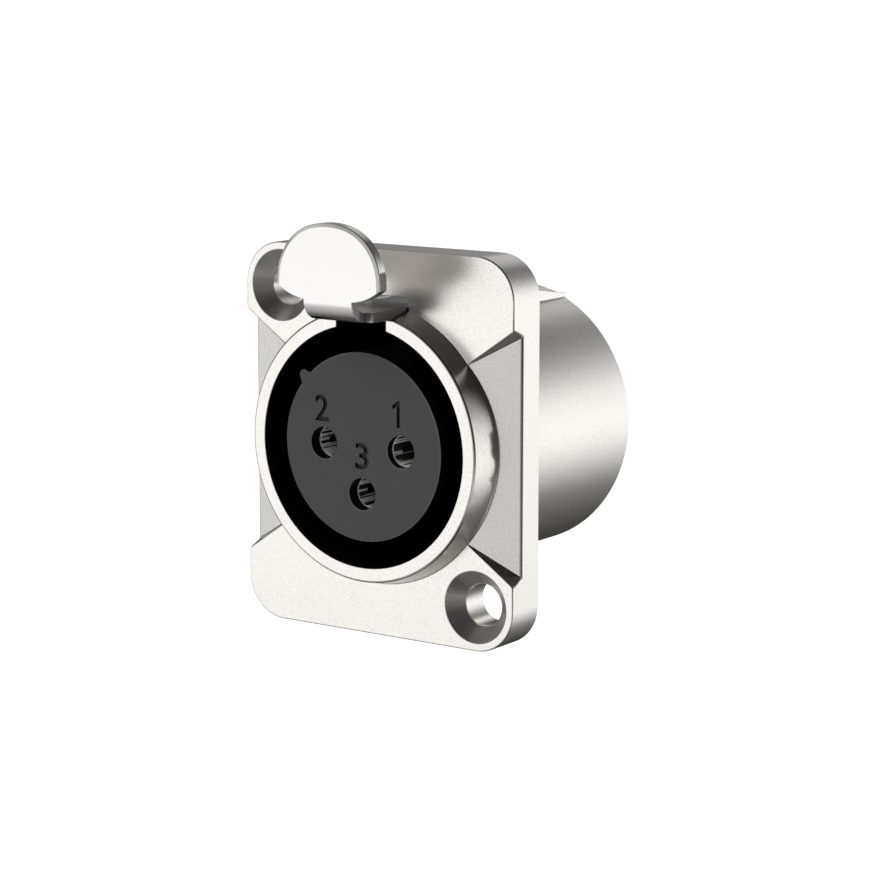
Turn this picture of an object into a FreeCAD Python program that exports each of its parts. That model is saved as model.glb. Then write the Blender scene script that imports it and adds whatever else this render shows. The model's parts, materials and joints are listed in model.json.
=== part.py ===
import FreeCAD, Part
import math
import os
import re
import Sketcher

# Three-pole round panel socket with a spring-loaded latch lever.
# Origin: the barrel's axis where it crosses the plane of the panel, which is the flange's back face.
# +X is to the right of somebody who looks at the front, +Y runs back along the barrel, +Z is up.
# Distances called "reach" or "front" are measured forward from the panel plane, so they lie at -Y.

SIZES = [
    # flange: a rectangular plate with two countersunk screw holes on a diagonal
    ("flange_width", 26.0),
    ("flange_height", 31.0),
    ("flange_thickness", 3.6),
    ("flange_corner_radius", 3.45),
    ("flange_edge_radius", 0.13),
    ("screw_edge_distance", 3.5),
    ("screw_hole_width", 3.4),
    ("countersink_width", 5.8),
    ("countersink_angle", 90.0),
    # the two side faces of the flange fall away from the ring as flat facets with drafted ends
    ("facet_depth", 1.25),
    ("facet_root_x", 8.68),
    ("facet_mouth_margin", 5.52),
    ("facet_taper", 2.97),
    ("facet_end_draft", 0.55),
    # ring that stands out of the flange, drafted for the die, with a thin lip round the plug bore
    ("ring_height", 2.03),
    ("ring_front_radius", 10.83),
    ("ring_draft", 0.4),
    ("ring_edge_bevel", 0.14),
    ("plug_bore_radius", 9.67),
    ("lip_depth", 0.3),
    # barrel behind the panel
    ("barrel_radius", 11.1),
    ("barrel_length", 16.6),
    ("barrel_edge", 0.15),
    ("cheek_width", 9.5),
    ("cheek_top_z", 10.98),
    ("cheek_slope_length", 4.0),
    ("cheek_rear_z", 10.38),
    ("cheek_root_z", 9.0),
    # latch channel along the top of ring, flange and barrel
    ("channel_width", 6.2),
    ("channel_floor_z", 10.25),
    ("channel_ceiling_z", 11.85),
    ("channel_end_wall", 2.7),
    ("latch_slot_width", 4.8),
    ("latch_slot_floor_z", 8.0),
    # black sleeve that lines the bore
    ("sleeve_wall", 0.25),
    ("sleeve_clearance", 0.05),
    # moulded insert that carries the contacts
    ("insert_setback", 0.06),
    ("insert_radius", 7.54),
    ("insert_edge_bevel", 0.12),
    ("insert_rear_setback", 0.8),
    ("insert_base_length", 6.3),
    ("insert_clearance", 0.05),
    ("key_angle", 47.0),
    ("key_reach", 8.15),
    ("key_nose_radius", 0.42),
    ("lever_groove_floor_z", 9.0),
    ("spring_pocket_radius", 1.35),
    ("spring_pocket_floor_z", 7.9),
    # contacts
    ("contact_circle_radius", 3.75),
    ("contact_window_radius", 1.29),
    ("contact_radius", 1.55),
    ("contact_clearance", 0.05),
    ("contact_bore_radius", 1.22),
    ("contact_bore_depth", 12.5),
    ("first_contact_recess", 0.7),
    ("contact_recess", 1.15),
    ("contact_hoop", 1.25),
    ("contact_slot_length", 8.0),
    ("contact_slot_width", 0.48),
    ("contact_slot_angle", 10.0),
    ("solder_cup_radius", 1.2),
    ("solder_cup_wall", 0.35),
    ("solder_cup_depth", 3.4),
    ("solder_cup_overhang", 4.1),
    # ground lug, pressed from sheet
    ("lug_angle", -45.0),
    ("lug_thickness", 0.5),
    ("lug_width", 1.9),
    ("lug_inner_radius", 8.6),
    ("lug_foot_depth", 3.0),
    ("lug_overhang", 3.7),
    ("lug_eye_radius", 0.5),
    ("lug_eye_from_end", 1.2),
    ("lug_clearance", 0.04),
    # spring ring that locks the insert into the barrel
    ("lock_ring_thickness", 0.45),
    ("lock_ring_inner_radius", 9.45),
    ("lock_ring_outer_radius", 10.33),
    ("lock_ring_clearance", 0.03),
    ("lock_ring_opening", 36.0),
    # latch lever: bent strip with a rounded press tab, a tooth and a rolled eye
    ("lever_rest_gap", 0.08),
    ("lever_thickness", 0.78),
    ("lever_front", 9.9),
    ("head_thickness", 0.98),
    ("head_width", 9.9),
    ("head_top_z", 18.0),
    ("head_top_radius", 7.0),
    ("head_shoulder_radius", 4.4),
    ("head_side_low_z", 13.07),
    ("head_chin_radius", 5.0),
    ("head_bevel", 0.3),
    ("head_bevel_depth", 0.12),
    ("neck_width", 4.68),
    ("bend_radius", 0.87),
    ("arm_side_clearance", 0.1),
    ("arm_start", 8.05),
    ("arm_end", 0.4),
    ("tail_width", 4.0),
    ("tooth_front", 0.2),
    ("tooth_crest", 1.1),
    ("tooth_back", 2.0),
    ("tooth_tip_z", 9.15),
    ("crank_drop", 0.5),
    ("crank_end", 3.2),
    ("pivot_from_rear", 6.3),
    ("pivot_z", 10.2),
    ("eye_radius", 0.8),
    ("tail_end_gap", 0.8),
    # pivot pin
    ("pin_radius", 0.45),
    ("pin_running_clearance", 0.04),
    ("pin_seat_clearance", 0.01),
    ("pin_blind_end", 3.9),
    # latch spring
    ("spring_from_tail_end", 1.1),
    ("spring_mean_radius", 0.95),
    ("spring_wire_radius", 0.15),
    ("spring_turns", 3.0),
    ("spring_end_gap", 0.02),
]

doc = FreeCAD.newDocument("panel_socket")
sheet = doc.addObject("Spreadsheet::Sheet", "sizes")
for row, (alias, size) in enumerate(SIZES, start=1):
    sheet.set("A%d" % row, alias)
    sheet.set("B%d" % row, str(size))
    sheet.setAlias("B%d" % row, alias)
doc.recompute()

WORD = re.compile(r"[a-z]+(?:_[a-z]+)+")


def tied(formula):
    """The formula with each size's name pointing at its cell."""
    return WORD.sub(lambda found: "sizes." + found.group(0), formula)


def number(formula):
    return float(sheet.evalExpression(formula))


# Places that several pieces share, worked out from the driving sizes
FACET_ROOT_Z = "(flange_height / 2 - facet_mouth_margin - facet_taper)"
RING_FRONT = "(flange_thickness + ring_height)"
BORE_SEAT = "(plug_bore_radius + sleeve_wall + sleeve_clearance)"
SLEEVE_OUTSIDE = "(plug_bore_radius + sleeve_wall)"
INSERT_FRONT = "(flange_thickness + ring_height - insert_setback)"
BASE_RADIUS = "(plug_bore_radius + sleeve_wall + sleeve_clearance - insert_clearance)"
ARM_BOTTOM = "(channel_floor_z + lever_rest_gap)"
ARM_TOP = "(channel_floor_z + lever_rest_gap + lever_thickness)"
INSERT_REAR = "(barrel_length - insert_rear_setback)"
BASE_FRONT = "(barrel_length - insert_rear_setback - insert_base_length)"
CHANNEL_END = "(barrel_length - channel_end_wall)"
PIVOT_Y = "(barrel_length - pivot_from_rear)"
TAIL_END = "(barrel_length - channel_end_wall - tail_end_gap)"
SPRING_Y = "(barrel_length - channel_end_wall - tail_end_gap - spring_from_tail_end)"
LUG_FRONT = "(barrel_length - lug_foot_depth)"
LUG_REAR = "(barrel_length + lug_overhang)"


def body_named(label):
    body = doc.addObject("PartDesign::Body", label)
    body.Label = label
    return body


def sketch_on(body, role, name, offset="0", turn=0.0):
    """A sketch on one of the body's origin planes, moved along the plane's normal by offset."""
    sketch = body.newObject("Sketcher::SketchObject", body.Label + "_" + name)
    plane = next(item for item in body.Origin.OriginFeatures if item.Role == role)
    sketch.AttachmentSupport = [(plane, "")]
    sketch.MapMode = "FlatFace"
    sketch.AttachmentOffset = FreeCAD.Placement(
        FreeCAD.Vector(0, 0, number(offset)), FreeCAD.Rotation(FreeCAD.Vector(0, 0, 1), turn)
    )
    if offset != "0":
        sketch.setExpression("AttachmentOffset.Base.z", tied(offset))
    return sketch


def fix_point(sketch, piece, end, across, up):
    """Hold one end of a sketch line at its tied distances from the sketch's origin."""
    for kind, formula in (("DistanceX", across), ("DistanceY", up)):
        index = sketch.addConstraint(
            Sketcher.Constraint(kind, -1, 1, piece, end, number(formula))
        )
        name = "p%d_%s" % (index, kind[-1].lower())
        sketch.renameConstraint(index, name)
        sketch.setExpression("Constraints." + name, tied(formula))


def fix_radius(sketch, piece, radius):
    index = sketch.addConstraint(Sketcher.Constraint("Radius", piece, number(radius)))
    name = "r%d" % index
    sketch.renameConstraint(index, name)
    sketch.setExpression("Constraints." + name, tied(radius))


def arc_between(start, end, radius, turn):
    """The shorter arc from start to end; turn is 1 for anticlockwise and -1 for clockwise."""
    if turn < 0:
        start, end = end, start
    chord = end - start
    middle = (start + end) * 0.5
    inward = FreeCAD.Vector(-chord.y, chord.x, 0).normalize()
    centre = middle + inward * max(radius * radius - chord.Length ** 2 / 4, 0) ** 0.5
    circle = Part.Circle(centre, FreeCAD.Vector(0, 0, 1), radius)
    return Part.ArcOfCircle(circle, circle.parameter(start), circle.parameter(end))


def outline(sketch, corners):
    """A closed outline. A corner is (across, up), or (across, up, radius, turn) where an arc follows."""
    places = [FreeCAD.Vector(number(c[0]), number(c[1]), 0) for c in corners]
    ends = []
    for i, corner in enumerate(corners):
        start, stop = places[i], places[(i + 1) % len(places)]
        if len(corner) == 2:
            piece = sketch.addGeometry(Part.LineSegment(start, stop))
            ends.append((piece, 1, 2))
            continue
        piece = sketch.addGeometry(arc_between(start, stop, number(corner[2]), corner[3]))
        fix_radius(sketch, piece, corner[2])
        ends.append((piece, 1, 2) if corner[3] > 0 else (piece, 2, 1))
    for i, (piece, first, last) in enumerate(ends):
        following = ends[(i + 1) % len(ends)]
        sketch.addConstraint(Sketcher.Constraint("Coincident", piece, last, following[0], following[1]))
        fix_point(sketch, piece, first, corners[i][0], corners[i][1])
    return sketch


def box_outline(sketch, left, low, right, high):
    return outline(sketch, [(left, low), (right, low), (right, high), (left, high)])


def circles(sketch, centres, radius):
    for across, up in centres:
        centre = FreeCAD.Vector(number(across), number(up), 0)
        piece = sketch.addGeometry(
            Part.Circle(centre, FreeCAD.Vector(0, 0, 1), number(radius))
        )
        fix_radius(sketch, piece, radius)
        fix_point(sketch, piece, 3, across, up)
    return sketch


MEASURES = {
    "Length", "Radius", "Size", "Size2", "Angle", "Height", "Turns", "Diameter", "HoleCutDiameter",
    "HoleCutCountersinkAngle",
}


def feature(body, kind, name, sketch=None, **settings):
    """Add a feature; a measure given as text is a formula tied to the sheet."""
    item = body.newObject("PartDesign::" + kind, body.Label + "_" + name)
    if sketch is not None:
        item.Profile = sketch
        sketch.Visibility = False
    for key, setting in settings.items():
        if isinstance(setting, str) and key in MEASURES:
            item.setExpression(key, tied(setting))
        else:
            setattr(item, key, setting)
    doc.recompute()
    if "Invalid" in item.State or "Error" in item.State:
        raise RuntimeError("%s of %s did not build: %s" % (name, body.Label, item.State))
    return item


def cut(body, kind, name, sketch=None, **settings):
    """A feature that removes material, with a check that it did."""
    before = body.Shape.Volume
    item = feature(body, kind, name, sketch, **settings)
    if body.Shape.Volume > before - 1e-6:
        raise RuntimeError("%s of %s removes nothing" % (name, body.Label))
    return item


def edges_where(body, test):
    """Names of the edges of the body's last feature that pass the test."""
    names = ["Edge%d" % (i + 1) for i, edge in enumerate(body.Tip.Shape.Edges) if test(edge)]
    if not names:
        raise RuntimeError("no edge to round on " + body.Label)
    return (body.Tip, names)


def turned(body, name, corners, kind="Revolution", **settings):
    """Turn an outline of (along Y, radius) corners about the barrel's axis."""
    sketch = outline(sketch_on(body, "YZ_Plane", name + "_section"), corners)
    add = cut if kind == "Groove" else feature
    return add(body, kind, name, sketch, ReferenceAxis=(sketch, ["H_Axis"]), **settings)


# Shell: one zinc die casting, with flange, ring, barrel and the open channel for the latch lever
def make_shell():
    shell = body_named("shell")
    plate = box_outline(
        sketch_on(shell, "XZ_Plane", "flange_outline"),
        "-flange_width / 2", "-flange_height / 2", "flange_width / 2", "flange_height / 2",
    )
    feature(shell, "Pad", "flange", plate, Length="flange_thickness")
    corners = edges_where(shell, lambda edge: edge.BoundBox.YLength > number("flange_thickness") / 2)
    feature(shell, "Fillet", "flange_corners", Base=corners, Radius="flange_corner_radius")

    # the front border is softly rounded
    face = -number("flange_thickness")
    border = edges_where(shell, lambda edge: edge.BoundBox.YMax < face + 1e-4)
    feature(shell, "Fillet", "flange_border", Base=border, Radius="flange_edge_radius")

    # the facet is cut by a loft through three sections that stand across X; all run forward of
    # the flange by the facet's depth, along the same drafted end walls, and the last one opens
    # out so that the edge to the flange's side is bevelled
    run = "(flange_width / 2 - facet_root_x)"
    drop = "(facet_depth * (%s - facet_root_x) / %s)"
    lean = "(facet_end_draft / facet_depth)"
    spread = "(facet_taper / %s)" % run
    sections = []
    for name, place, opening in (
        ("root", "facet_root_x", "0"),
        ("rim", "(flange_width / 2 - flange_edge_radius)", "0"),
        ("mouth", "(flange_width / 2 + flange_edge_radius)", "2 * flange_edge_radius"),
    ):
        depth = "(%s + %s)" % (drop % (place, run), opening)
        floor_y = "%s - flange_thickness" % depth
        front_y = "-flange_thickness - facet_depth"
        level = "(%s + %s * (%s - facet_root_x) + %s)" % (FACET_ROOT_Z, spread, place, opening)
        floor_z = "(%s - %s * %s)" % (level, lean, depth)
        front_z = "(%s + %s * facet_depth)" % (level, lean)
        sections.append(outline(
            sketch_on(shell, "YZ_Plane", "facet_" + name, offset=place),
            [(floor_y, "-" + floor_z), (floor_y, floor_z), (front_y, front_z), (front_y, "-" + front_z)],
        ))
    facet = cut(shell, "SubtractiveLoft", "facet_right", sections[0], Sections=sections[1:], Ruled=True)
    for section in sections[1:]:
        section.Visibility = False
    mirror_plane = next(item for item in shell.Origin.OriginFeatures if item.Role == "YZ_Plane")
    mirrored = feature(
        shell, "Mirrored", "facet_left", Originals=[facet], MirrorPlane=(mirror_plane, [""])
    )
    shell.Tip = mirrored
    doc.recompute()

    block = outline(
        sketch_on(shell, "YZ_Plane", "cheek_side"),
        [
            ("-flange_thickness / 2", "cheek_root_z"),
            ("barrel_length", "cheek_root_z"),
            ("barrel_length", "cheek_rear_z"),
            ("barrel_length - cheek_slope_length", "cheek_top_z"),
            ("-flange_thickness / 2", "cheek_top_z"),
        ],
    )
    feature(shell, "Pad", "cheeks", block, Length="cheek_width", SideType="Symmetric")

    turned(shell, "ring_and_barrel", [
        ("-" + RING_FRONT, "0"),
        ("barrel_length", "0"),
        ("barrel_length", "barrel_radius - barrel_edge"),
        ("barrel_length - barrel_edge", "barrel_radius"),
        ("-flange_thickness / 4", "barrel_radius"),
        ("-flange_thickness / 4", "ring_front_radius + ring_draft"),
        ("-flange_thickness", "ring_front_radius + ring_draft"),
        ("-" + RING_FRONT + " + ring_edge_bevel", "ring_front_radius"),
        ("-" + RING_FRONT, "ring_front_radius - ring_edge_bevel"),
    ])
    turned(shell, "bore", [
        ("-" + RING_FRONT + " - 1", "0"),
        ("-" + RING_FRONT + " - 1", "plug_bore_radius"),
        ("-" + RING_FRONT + " + lip_depth", "plug_bore_radius"),
        ("-" + RING_FRONT + " + lip_depth", BORE_SEAT),
        ("barrel_length + 1", BORE_SEAT),
        ("barrel_length + 1", "0"),
    ], kind="Groove")

    channel = box_outline(
        sketch_on(shell, "XZ_Plane", "channel_section", offset=RING_FRONT + " + 1"),
        "-channel_width / 2", "channel_floor_z", "channel_width / 2", "channel_ceiling_z",
    )
    cut(shell, "Pocket", "channel", channel, Length=RING_FRONT + " + 1 + " + CHANNEL_END)
    slot = box_outline(
        sketch_on(shell, "XZ_Plane", "latch_slot_section", offset=RING_FRONT + " + 1"),
        "-latch_slot_width / 2", "latch_slot_floor_z", "latch_slot_width / 2", "channel_floor_z + 0.1",
    )
    cut(shell, "Pocket", "latch_slot", slot, Length=RING_FRONT + " + 1 + " + CHANNEL_END)

    groove_end = INSERT_REAR + " + lock_ring_thickness + 2 * lock_ring_clearance"
    turned(shell, "lock_ring_groove", [
        (INSERT_REAR, "plug_bore_radius"),
        (INSERT_REAR, "lock_ring_outer_radius + lock_ring_clearance"),
        (groove_end, "lock_ring_outer_radius + lock_ring_clearance"),
        (groove_end, "plug_bore_radius"),
    ], kind="Groove")

    pin_hole = circles(
        sketch_on(shell, "YZ_Plane", "pin_hole_section", offset="pin_blind_end"),
        [(PIVOT_Y, "pivot_z")], "pin_radius + pin_seat_clearance",
    )
    cut(shell, "Pocket", "pin_hole", pin_hole, Length="pin_blind_end + cheek_width / 2 + 1")

    centres = circles(
        sketch_on(shell, "XZ_Plane", "screw_centres", offset="flange_thickness"),
        [
            ("screw_edge_distance - flange_width / 2", "flange_height / 2 - screw_edge_distance"),
            ("flange_width / 2 - screw_edge_distance", "screw_edge_distance - flange_height / 2"),
        ],
        "screw_hole_width / 2",
    )
    cut(
        shell, "Hole", "screw_holes", centres, Diameter="screw_hole_width", DepthType="ThroughAll",
        HoleCutType="Countersink", HoleCutCustomValues=True, HoleCutDiameter="countersink_width",
        HoleCutCountersinkAngle="countersink_angle",
    )
    return shell


# Sleeve: thin black tube inside the bore, with a raised channel that lines the latch slot
def make_sleeve():
    sleeve = body_named("bore_sleeve")
    front = RING_FRONT + " - lip_depth - insert_clearance"
    rear = BASE_FRONT + " - insert_clearance"
    turned(sleeve, "tube", [
        ("-(%s)" % front, "plug_bore_radius"),
        ("-(%s)" % front, SLEEVE_OUTSIDE),
        (rear, SLEEVE_OUTSIDE),
        (rear, "plug_bore_radius"),
    ])
    outside = "(latch_slot_width / 2 - insert_clearance)"
    walls = box_outline(
        sketch_on(sleeve, "XZ_Plane", "channel_walls", offset=front),
        "-" + outside, "plug_bore_radius * 0.97", outside, "channel_floor_z",
    )
    feature(sleeve, "Pad", "channel_block", walls, Length=front + " + " + rear, Reversed=True)
    inside = "(latch_slot_width / 2 - insert_clearance - sleeve_wall)"
    opening = box_outline(
        sketch_on(sleeve, "XZ_Plane", "channel_opening", offset=front + " + 1"),
        "-" + inside, "0", inside, "channel_floor_z + 1",
    )
    cut(sleeve, "Pocket", "channel", opening, Length=front + " + 2 + " + rear)
    return sleeve


CONTACT_PLACES = {
    "contact_1": ("contact_circle_radius", "0", "first_contact_recess"),
    "contact_2": ("-contact_circle_radius", "0", "contact_recess"),
    "contact_3": ("0", "-contact_circle_radius", "contact_recess"),
}


# Insert: one polyamide moulding, a round core on a wide base, bored for the three contacts
def make_insert():
    insert = body_named("insert")
    turned(insert, "core_and_base", [
        ("-" + INSERT_FRONT, "0"),
        (INSERT_REAR, "0"),
        (INSERT_REAR, BASE_RADIUS),
        (BASE_FRONT, BASE_RADIUS),
        (BASE_FRONT, "insert_radius"),
        ("-" + INSERT_FRONT + " + insert_edge_bevel", "insert_radius"),
        ("-" + INSERT_FRONT, "insert_radius - insert_edge_bevel"),
    ])
    rib = outline(
        sketch_on(
            insert, "XZ_Plane", "key_section", offset=INSERT_FRONT + " - insert_edge_bevel",
            turn=number("key_angle"),
        ),
        [
            ("-key_nose_radius", "insert_radius * 0.9"),
            ("key_nose_radius", "insert_radius * 0.9"),
            ("key_nose_radius", "key_reach - key_nose_radius", "key_nose_radius", 1),
            ("0", "key_reach", "key_nose_radius", 1),
            ("-key_nose_radius", "key_reach - key_nose_radius"),
        ],
    )
    feature(
        insert, "Pad", "key", rib, Reversed=True,
        Length=INSERT_FRONT + " - insert_edge_bevel + 1 + " + BASE_FRONT,
    )
    groove = box_outline(
        sketch_on(insert, "XZ_Plane", "lever_groove_section", offset="1 - " + BASE_FRONT),
        "-latch_slot_width / 2", "lever_groove_floor_z", "latch_slot_width / 2", BASE_RADIUS + " + 1",
    )
    cut(insert, "Pocket", "lever_groove", groove, Length=CHANNEL_END + " + 1 - " + BASE_FRONT)
    pocket = circles(
        sketch_on(insert, "XY_Plane", "spring_pocket_section", offset=BASE_RADIUS + " + 1"),
        [("0", SPRING_Y)], "spring_pocket_radius",
    )
    cut(insert, "Pocket", "spring_pocket", pocket, Length=BASE_RADIUS + " + 1 - spring_pocket_floor_z")
    for name, (across, up, recess) in CONTACT_PLACES.items():
        window = circles(
            sketch_on(insert, "XZ_Plane", name + "_window", offset=INSERT_FRONT + " + 1"),
            [(across, up)], "contact_window_radius",
        )
        cut(insert, "Pocket", name + "_front_hole", window, Length="1.5 + " + recess)
        seat = circles(
            sketch_on(insert, "XZ_Plane", name + "_seat", offset="-1 - " + INSERT_REAR),
            [(across, up)], "contact_radius + contact_clearance",
        )
        cut(
            insert, "Pocket", name + "_passage", seat, Reversed=True,
            Length="%s + 1 + %s - %s" % (INSERT_REAR, INSERT_FRONT, recess),
        )
    foot = box_outline(
        sketch_on(
            insert, "XZ_Plane", "lug_seat", offset="-1 - " + INSERT_REAR, turn=-number("lug_angle")
        ),
        "-lug_width / 2 - lug_clearance", "lug_inner_radius - lug_clearance",
        "lug_width / 2 + lug_clearance", BASE_RADIUS + " + 1",
    )
    cut(
        insert, "Pocket", "lug_slot", foot, Reversed=True,
        Length="1 + lug_clearance + %s - %s" % (INSERT_REAR, LUG_FRONT),
    )
    return insert


# Contacts: turned and slotted brass sleeves, silver plated, each with a solder cup at the rear
def make_contact(name):
    across, up, recess = CONTACT_PLACES[name]
    contact = body_named(name)
    front = "(%s - %s - insert_clearance)" % (INSERT_FRONT, recess)
    tube_end = "(%s + %s)" % (INSERT_REAR, front)
    length = "(barrel_length + solder_cup_overhang + %s)" % front
    cup_floor = "(%s - solder_cup_depth)" % length
    turned(contact, "tube", [
        ("0", "contact_bore_radius"),
        ("0", "contact_radius"),
        (tube_end, "contact_radius"),
        (tube_end, "solder_cup_radius"),
        (length, "solder_cup_radius"),
        (length, "solder_cup_radius - solder_cup_wall"),
        (cup_floor, "solder_cup_radius - solder_cup_wall"),
        (cup_floor, "0"),
        ("contact_bore_depth", "0"),
        ("contact_bore_depth", "contact_bore_radius"),
    ])
    slot = box_outline(
        sketch_on(contact, "YZ_Plane", "slot_section"),
        "contact_hoop", "-contact_slot_width / 2",
        "contact_hoop + contact_slot_length", "contact_slot_width / 2",
    )
    cut(contact, "Pocket", "slot", slot, Length="contact_radius + 1")
    mouth = box_outline(
        sketch_on(contact, "XY_Plane", "cup_opening"),
        "-solder_cup_radius - 1", cup_floor + " + solder_cup_wall",
        "solder_cup_radius + 1", length + " + 1",
    )
    cut(contact, "Pocket", "cup_mouth", mouth, Length="solder_cup_radius + 1", Reversed=True)
    contact.Placement = FreeCAD.Placement(
        FreeCAD.Vector(), FreeCAD.Rotation(FreeCAD.Vector(0, 1, 0), -number("contact_slot_angle"))
    )
    contact.setExpression("Placement.Base.x", tied(across))
    contact.setExpression("Placement.Base.y", tied("-" + front))
    contact.setExpression("Placement.Base.z", tied(up))
    return contact


# Ground lug: a strip bent to an L, its foot against the barrel wall and its eye behind the insert
def make_ground_lug():
    lug = body_named("ground_lug")
    side = outline(sketch_on(lug, "YZ_Plane", "side"), [
        (LUG_FRONT, "lug_inner_radius"),
        (LUG_REAR, "lug_inner_radius"),
        (LUG_REAR, "lug_inner_radius + lug_thickness"),
        (LUG_FRONT + " + lug_thickness", "lug_inner_radius + lug_thickness"),
        (LUG_FRONT + " + lug_thickness", BASE_RADIUS + " - lug_clearance"),
        (LUG_FRONT, BASE_RADIUS + " - lug_clearance"),
    ])
    feature(lug, "Pad", "strip", side, Length="lug_width", SideType="Symmetric")
    eye = circles(
        sketch_on(lug, "XY_Plane", "eye_section", offset="lug_inner_radius - 1"),
        [("0", LUG_REAR + " - lug_eye_from_end")], "lug_eye_radius",
    )
    cut(lug, "Pocket", "eye", eye, Length="lug_thickness + 2", Reversed=True)
    end = number(LUG_REAR)
    corners = edges_where(lug, lambda e: e.BoundBox.YMin > end - 1e-4 and e.BoundBox.ZLength > 0.1)
    feature(lug, "Fillet", "rounded_end", Base=corners, Radius="lug_width * 0.4")
    lug.Placement = FreeCAD.Placement(
        FreeCAD.Vector(), FreeCAD.Rotation(FreeCAD.Vector(0, 1, 0), number("lug_angle"))
    )
    return lug


# Locking ring: open spring ring, snapped into the groove behind the insert
def make_lock_ring():
    ring = body_named("lock_ring")
    front = "(%s + lock_ring_clearance)" % INSERT_REAR
    turned(ring, "ring", [
        (front, "lock_ring_inner_radius"),
        (front, "lock_ring_outer_radius"),
        (front + " + lock_ring_thickness", "lock_ring_outer_radius"),
        (front + " + lock_ring_thickness", "lock_ring_inner_radius"),
    ], Angle="360 - lock_ring_opening")
    half_opening = number("lock_ring_opening") / 2
    ring.Placement = FreeCAD.Placement(
        FreeCAD.Vector(), FreeCAD.Rotation(FreeCAD.Vector(0, 1, 0), half_opening)
    )
    return ring


# Latch lever: one bent strip with the press tab in front, the tooth in the slot, the eye and the tail
def make_lever():
    lever = body_named("latch_lever")
    half = "(head_width / 2)"
    inset = "(head_width / 2 - head_shoulder_radius)"
    shrink = "(head_top_radius - head_shoulder_radius)"
    rise = "sqrt(pow(head_top_radius - head_shoulder_radius; 2) - pow(head_width / 2 - head_shoulder_radius; 2))"
    centre_z = "(head_top_z - head_top_radius)"
    shoulder_z = "(%s + %s)" % (centre_z, rise)
    crown_x = "(head_top_radius * %s / %s)" % (inset, shrink)
    crown_z = "(%s + head_top_radius * %s / %s)" % (centre_z, rise, shrink)
    neck = "(neck_width / 2)"
    chin_z = "(channel_floor_z + lever_rest_gap + lever_thickness + bend_radius + 0.05)"
    blank_z = "(%s - 2 * head_bevel)" % chin_z
    tab = outline(sketch_on(lever, "XZ_Plane", "tab_outline", offset="lever_front"), [
        ("-" + half, blank_z),
        (half, blank_z),
        (half, shoulder_z, "head_shoulder_radius", 1),
        (crown_x, crown_z, "head_top_radius", 1),
        ("-" + crown_x, crown_z, "head_shoulder_radius", 1),
        ("-" + half, shoulder_z),
    ])
    feature(lever, "Pad", "tab", tab, Length="head_thickness", Reversed=True)
    face = -number("lever_front")
    border = edges_where(lever, lambda edge: edge.BoundBox.YMax < face + 1e-4)
    feature(
        lever, "Chamfer", "tab_bevel", Base=border, ChamferType="Two distances",
        Size="head_bevel_depth", Size2="head_bevel",
    )
    # the blank is trimmed after it is bevelled, so the two curves down to the neck have sharp edges
    chin = outline(sketch_on(lever, "XZ_Plane", "chin_outline", offset="lever_front + 1"), [
        (half + " + 1", blank_z + " - 1"),
        (half + " + 1", "head_side_low_z"),
        (half, "head_side_low_z", "head_chin_radius", -1),
        (neck, chin_z),
        ("-" + neck, chin_z, "head_chin_radius", -1),
        ("-" + half, "head_side_low_z"),
        ("-" + half + " - 1", "head_side_low_z"),
        ("-" + half + " - 1", blank_z + " - 1"),
    ])
    cut(lever, "Pocket", "chin", chin, Length="head_thickness + 2")

    outer = "(bend_radius + lever_thickness)"
    inner_y = "-(lever_front - lever_thickness)"
    bend_y = "-(lever_front - bend_radius - lever_thickness)"
    bend_z = "(channel_floor_z + lever_rest_gap + lever_thickness + bend_radius)"
    neck_side = outline(sketch_on(lever, "YZ_Plane", "neck_side"), [
        ("-lever_front", "head_side_low_z"),
        ("-lever_front", bend_z, outer, 1),
        (bend_y, ARM_BOTTOM),
        ("-arm_start + lever_thickness", ARM_BOTTOM),
        ("-arm_start + lever_thickness", ARM_TOP),
        (bend_y, ARM_TOP, "bend_radius", -1),
        (inner_y, bend_z),
        (inner_y, "head_side_low_z"),
    ])
    feature(lever, "Pad", "neck", neck_side, Length="neck_width", SideType="Symmetric")

    arm_half = "(channel_width / 2 - arm_side_clearance)"
    arm = box_outline(
        sketch_on(lever, "XY_Plane", "arm_outline", offset=ARM_BOTTOM),
        "-" + arm_half, "-arm_start", arm_half, "-arm_end",
    )
    feature(lever, "Pad", "arm", arm, Length="lever_thickness")

    strap_low = "(channel_floor_z + lever_rest_gap - crank_drop)"
    strap_high = "(channel_floor_z + lever_rest_gap - crank_drop + lever_thickness)"
    tail_side = outline(sketch_on(lever, "YZ_Plane", "tail_side"), [
        ("-arm_end - lever_thickness", ARM_BOTTOM),
        ("tooth_front", ARM_BOTTOM),
        ("tooth_crest", "tooth_tip_z"),
        ("tooth_back", "tooth_tip_z"),
        ("tooth_back", strap_low),
        (TAIL_END, strap_low),
        (TAIL_END, strap_high),
        ("crank_end", strap_high),
        ("crank_end - lever_thickness", ARM_TOP),
        ("-arm_end - lever_thickness", ARM_TOP),
    ])
    feature(lever, "Pad", "tail", tail_side, Length="tail_width", SideType="Symmetric")
    eye = circles(sketch_on(lever, "YZ_Plane", "eye_outline"), [(PIVOT_Y, "pivot_z")], "eye_radius")
    feature(lever, "Pad", "eye", eye, Length="tail_width", SideType="Symmetric")
    bore = circles(
        sketch_on(lever, "YZ_Plane", "eye_bore", offset="tail_width / 2 + 1"),
        [(PIVOT_Y, "pivot_z")], "pin_radius + pin_running_clearance",
    )
    cut(lever, "Pocket", "eye_hole", bore, Length="tail_width + 2")
    return lever


# Pivot pin: plain steel pin pressed through one cheek into a blind hole in the other
def make_pin():
    pin = body_named("pivot_pin")
    section = circles(
        sketch_on(pin, "YZ_Plane", "section", offset="pin_blind_end - pin_seat_clearance"),
        [(PIVOT_Y, "pivot_z")], "pin_radius",
    )
    feature(pin, "Pad", "rod", section, Length="pin_blind_end + cheek_width / 2 - 0.1", Reversed=True)
    return pin


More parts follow.
